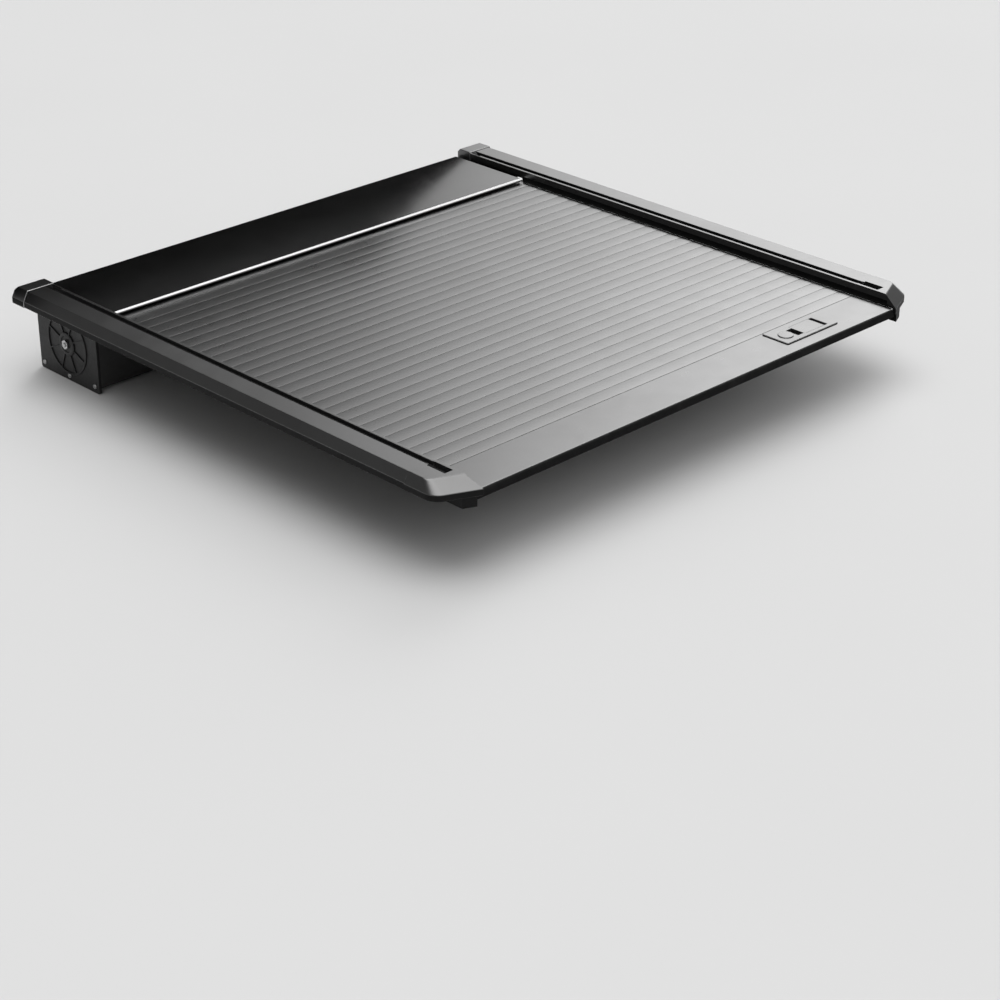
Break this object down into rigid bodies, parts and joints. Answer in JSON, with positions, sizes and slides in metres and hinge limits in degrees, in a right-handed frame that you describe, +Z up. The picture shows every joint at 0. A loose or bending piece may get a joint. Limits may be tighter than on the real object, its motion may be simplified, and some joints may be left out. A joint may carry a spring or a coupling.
{
  "type": "tonneau cover",
  "caption": "Retractable pickup bed cover: slatted aluminium curtain between two T-slot side rails, wound in a front canister, with a latched pull bar at the tailgate.",
  "frame": {"origin": "on the centre plane, at the height of the bed-rail tops, at the pull bar's rear edge", "axes": "+X to the truck's right, +Y towards the cab, the way the curtain opens, +Z up"},
  "size_m": [1.584, 1.5502, 0.2305],
  "materials": {
    "coated_rail": "satin",
    "coated_slat": "satin",
    "trim": "polished",
    "sheet_metal": "matte",
    "bare_aluminium": "satin",
    "steel": "satin",
    "rubber": "matte",
    "foam": "matte",
    "black_plastic": "matte",
    "webbing": "matte"
  },
  "bodies": {
    "root": {"rail_right": "coated_rail", "rail_left": "coated_rail", "rear_cap_right": "coated_rail", "rear_cap_left": "coated_rail", "front_cap_right": "coated_rail", "front_cap_left": "coated_rail", "guide_seal_right": "rubber", "guide_seal_left": "rubber", "bed_seal_right": "foam", "bed_seal_left": "foam", "canister_housing": "sheet_metal", "canister_end_right": "black_plastic", "canister_end_left": "black_plastic", "canister_lid": "coated_rail", "lid_trim": "trim", "lid_seal": "rubber", "spool_shaft": "steel"},
    "pull_bar": {"pull_bar": "coated_slat", "tailgate_seal": "rubber", "latch_base": "black_plastic", "latch_plate": "coated_slat", "handle_pin": "steel"},
    "latch_handle": {"latch_handle": "coated_slat"},
    "lock_cover": {"lock_cover": "coated_slat"},
    "lock_barrel": {"lock_barrel": "steel"},
    "latch_cam": {"latch_cam": "steel"},
    "latch_bolt_right": {"latch_bolt_right": "steel"},
    "latch_bolt_left": {"latch_bolt_left": "steel"},
    "spool": {"spool_tube": "bare_aluminium", "spool_spring": "steel"},
    "slat_01": {"slat_01": "coated_slat"},
    "slat_02": {"slat_02": "coated_slat"},
    "slat_03": {"slat_03": "coated_slat"},
    "slat_04": {"slat_04": "coated_slat"},
    "slat_05": {"slat_05": "coated_slat"},
    "slat_06": {"slat_06": "coated_slat"},
    "slat_07": {"slat_07": "coated_slat"},
    "slat_08": {"slat_08": "coated_slat"},
    "slat_09": {"slat_09": "coated_slat"},
    "slat_10": {"slat_10": "coated_slat"},
    "slat_11": {"slat_11": "coated_slat"},
    "slat_12": {"slat_12": "coated_slat"},
    "slat_13": {"slat_13": "coated_slat"},
    "slat_14": {"slat_14": "coated_slat"},
    "slat_15": {"slat_15": "coated_slat"},
    "slat_16": {"slat_16": "coated_slat"},
    "slat_17": {"slat_17": "coated_slat"},
    "slat_18": {"slat_18": "coated_slat"},
    "slat_19": {"slat_19": "coated_slat"},
    "slat_20": {"slat_20": "coated_slat"},
    "slat_21": {"slat_21": "coated_slat"},
    "slat_22": {"slat_22": "coated_slat"},
    "slat_23": {"slat_23": "coated_slat"},
    "slat_24": {"slat_24": "coated_slat"},
    "slat_25": {"slat_25": "coated_slat"},
    "slat_26": {"slat_26": "coated_slat"},
    "slat_27": {"slat_27": "coated_slat"},
    "slat_28": {"slat_28": "coated_slat"},
    "slat_29": {"slat_29": "coated_slat"},
    "curtain_leader": {"curtain_leader": "webbing"}
  },
  "joints": [
    {"name": "curtain_slide", "type": "slide", "parent": "root", "child": "pull_bar", "axis": [0, 1, 0], "range_m": [0, 1.148], "deforming": ["slat_01", "slat_02", "slat_03", "slat_04", "slat_05", "slat_06", "slat_07", "slat_08", "slat_09", "slat_10", "slat_11", "slat_12", "slat_13", "slat_14", "slat_15", "slat_16", "slat_17", "slat_18", "slat_19", "slat_20", "slat_21", "slat_22", "slat_23", "slat_24", "slat_25", "slat_26", "slat_27", "slat_28", "slat_29", "curtain_leader"]},
    {"name": "handle_lift", "type": "hinge", "parent": "pull_bar", "child": "latch_handle", "pos_m": [0.5, 0.07, 0.005], "axis": [0, 1, 0], "range_deg": [0, 60], "stiffness_Nm_per_rad": 0.4},
    {"name": "cam_turn", "type": "hinge", "parent": "pull_bar", "child": "latch_cam", "pos_m": [0.44, 0.022, 0], "axis": [0, 0, 1], "range_deg": [0, 36]},
    {"name": "bolt_right_slide", "type": "slide", "parent": "pull_bar", "child": "latch_bolt_right", "axis": [-1, 0, 0], "range_m": [0, 0.0121]},
    {"name": "bolt_left_slide", "type": "slide", "parent": "pull_bar", "child": "latch_bolt_left", "axis": [1, 0, 0], "range_m": [0, 0.0121]},
    {"name": "lock_cover_swing", "type": "hinge", "parent": "pull_bar", "child": "lock_cover", "pos_m": [0.382, 0.086, 0.0126], "axis": [0, 0, 1], "range_deg": [-120, 0]},
    {"name": "lock_turn", "type": "hinge", "parent": "pull_bar", "child": "lock_barrel", "pos_m": [0.382, 0.0695, 0], "axis": [0, 0, 1], "range_deg": [0, 90]},
    {"name": "spool_turn", "type": "hinge", "parent": "root", "child": "spool", "pos_m": [0, 1.409, -0.092], "axis": [-1, 0, 0], "range_deg": [0, 1033]},
    {"name": "slat_01_slide", "type": "slide", "parent": "root", "child": "slat_01", "axis": [0, 1, 0], "range_m": [0, 1.148]},
    {"name": "slat_02_slide", "type": "slide", "parent": "root", "child": "slat_02", "axis": [0, 1, 0], "range_m": [0, 1.1157]},
    {"name": "slat_03_slide", "type": "slide", "parent": "root", "child": "slat_03", "axis": [0, 1, 0], "range_m": [0, 1.0834]},
    {"name": "slat_04_slide", "type": "slide", "parent": "root", "child": "slat_04", "axis": [0, 1, 0], "range_m": [0, 1.0511]},
    {"name": "slat_05_slide", "type": "slide", "parent": "root", "child": "slat_05", "axis": [0, 1, 0], "range_m": [0, 1.0188]},
    {"name": "slat_06_slide", "type": "slide", "parent": "root", "child": "slat_06", "axis": [0, 1, 0], "range_m": [0, 0.9866]},
    {"name": "slat_07_slide", "type": "slide", "parent": "root", "child": "slat_07", "axis": [0, 1, 0], "range_m": [0, 0.9543]},
    {"name": "slat_08_slide", "type": "slide", "parent": "root", "child": "slat_08", "axis": [0, 1, 0], "range_m": [0, 0.922]},
    {"name": "slat_09_slide", "type": "slide", "parent": "root", "child": "slat_09", "axis": [0, 1, 0], "range_m": [0, 0.8897]},
    {"name": "slat_10_slide", "type": "slide", "parent": "root", "child": "slat_10", "axis": [0, 1, 0], "range_m": [0, 0.8573]},
    {"name": "slat_11_slide", "type": "slide", "parent": "root", "child": "slat_11", "axis": [0, 1, 0], "range_m": [0, 0.825]},
    {"name": "slat_12_slide", "type": "slide", "parent": "root", "child": "slat_12", "axis": [0, 1, 0], "range_m": [0, 0.7927]},
    {"name": "slat_13_slide", "type": "slide", "parent": "root", "child": "slat_13", "axis": [0, 1, 0], "range_m": [0, 0.7604]},
    {"name": "slat_14_slide", "type": "slide", "parent": "root", "child": "slat_14", "axis": [0, 1, 0], "range_m": [0, 0.7281]},
    {"name": "slat_15_slide", "type": "slide", "parent": "root", "child": "slat_15", "axis": [0, 1, 0], "range_m": [0, 0.6959]},
    {"name": "slat_16_slide", "type": "slide", "parent": "root", "child": "slat_16", "axis": [0, 1, 0], "range_m": [0, 0.6636]},
    {"name": "slat_17_slide", "type": "slide", "parent": "root", "child": "slat_17", "axis": [0, 1, 0], "range_m": [0, 0.6313]},
    {"name": "slat_18_slide", "type": "slide", "parent": "root", "child": "slat_18", "axis": [0, 1, 0], "range_m": [0, 0.599]},
    {"name": "slat_19_slide", "type": "slide", "parent": "root", "child": "slat_19", "axis": [0, 1, 0], "range_m": [0, 0.5666]},
    {"name": "slat_20_slide", "type": "slide", "parent": "root", "child": "slat_20", "axis": [0, 1, 0], "range_m": [0, 0.5343]},
    {"name": "slat_21_slide", "type": "slide", "parent": "root", "child": "slat_21", "axis": [0, 1, 0], "range_m": [0, 0.502]},
    {"name": "slat_22_slide", "type": "slide", "parent": "root", "child": "slat_22", "axis": [0, 1, 0], "range_m": [0, 0.4697]},
    {"name": "slat_23_slide", "type": "slide", "parent": "root", "child": "slat_23", "axis": [0, 1, 0], "range_m": [0, 0.4374]},
    {"name": "slat_24_slide", "type": "slide", "parent": "root", "child": "slat_24", "axis": [0, 1, 0], "range_m": [0, 0.4052]},
    {"name": "slat_25_slide", "type": "slide", "parent": "root", "child": "slat_25", "axis": [0, 1, 0], "range_m": [0, 0.3729]},
    {"name": "slat_26_slide", "type": "slide", "parent": "root", "child": "slat_26", "axis": [0, 1, 0], "range_m": [0, 0.3406]},
    {"name": "slat_27_slide", "type": "slide", "parent": "root", "child": "slat_27", "axis": [0, 1, 0], "range_m": [0, 0.3083]},
    {"name": "slat_28_slide", "type": "slide", "parent": "root", "child": "slat_28", "axis": [0, 1, 0], "range_m": [0, 0.2759]},
    {"name": "slat_29_slide", "type": "slide", "parent": "root", "child": "slat_29", "axis": [0, 1, 0], "range_m": [0, 0.2436]},
    {"name": "curtain_leader_slide", "type": "slide", "parent": "root", "child": "curtain_leader", "axis": [0, 1, 0], "range_m": [0, 0.2113]}
  ],
  "couplings": [
    {"joint": "cam_turn", "follows": "handle_lift", "ratio": 0.5833},
    {"joint": "bolt_right_slide", "follows": "handle_lift", "m_per_rad": 0.01146},
    {"joint": "bolt_left_slide", "follows": "handle_lift", "m_per_rad": 0.01146},
    {"joint": "spool_turn", "follows": "curtain_slide", "rad_per_m": 15.7},
    {"joint": "slat_01_slide", "follows": "curtain_slide", "ratio": 1},
    {"joint": "slat_02_slide", "follows": "curtain_slide", "ratio": 0.97186},
    {"joint": "slat_03_slide", "follows": "curtain_slide", "ratio": 0.94373},
    {"joint": "slat_04_slide", "follows": "curtain_slide", "ratio": 0.91559},
    {"joint": "slat_05_slide", "follows": "curtain_slide", "ratio": 0.88746},
    {"joint": "slat_06_slide", "follows": "curtain_slide", "ratio": 0.85932},
    {"joint": "slat_07_slide", "follows": "curtain_slide", "ratio": 0.83118},
    {"joint": "slat_08_slide", "follows": "curtain_slide", "ratio": 0.80305},
    {"joint": "slat_09_slide", "follows": "curtain_slide", "ratio": 0.77491},
    {"joint": "slat_10_slide", "follows": "curtain_slide", "ratio": 0.74678},
    {"joint": "slat_11_slide", "follows": "curtain_slide", "ratio": 0.71864},
    {"joint": "slat_12_slide", "follows": "curtain_slide", "ratio": 0.69051},
    {"joint": "slat_13_slide", "follows": "curtain_slide", "ratio": 0.66237},
    {"joint": "slat_14_slide", "follows": "curtain_slide", "ratio": 0.63423},
    {"joint": "slat_15_slide", "follows": "curtain_slide", "ratio": 0.6061},
    {"joint": "slat_16_slide", "follows": "curtain_slide", "ratio": 0.57796},
    {"joint": "slat_17_slide", "follows": "curtain_slide", "ratio": 0.54983},
    {"joint": "slat_18_slide", "follows": "curtain_slide", "ratio": 0.52169},
    {"joint": "slat_19_slide", "follows": "curtain_slide", "ratio": 0.49355},
    {"joint": "slat_20_slide", "follows": "curtain_slide", "ratio": 0.46542},
    {"joint": "slat_21_slide", "follows": "curtain_slide", "ratio": 0.43728},
    {"joint": "slat_22_slide", "follows": "curtain_slide", "ratio": 0.40915},
    {"joint": "slat_23_slide", "follows": "curtain_slide", "ratio": 0.38101},
    {"joint": "slat_24_slide", "follows": "curtain_slide", "ratio": 0.35287},
    {"joint": "slat_25_slide", "follows": "curtain_slide", "ratio": 0.32474},
    {"joint": "slat_26_slide", "follows": "curtain_slide", "ratio": 0.2966},
    {"joint": "slat_27_slide", "follows": "curtain_slide", "ratio": 0.26847},
    {"joint": "slat_28_slide", "follows": "curtain_slide", "ratio": 0.24033},
    {"joint": "slat_29_slide", "follows": "curtain_slide", "ratio": 0.21219},
    {"joint": "curtain_leader_slide", "follows": "curtain_slide", "ratio": 0.18406}
  ]
}
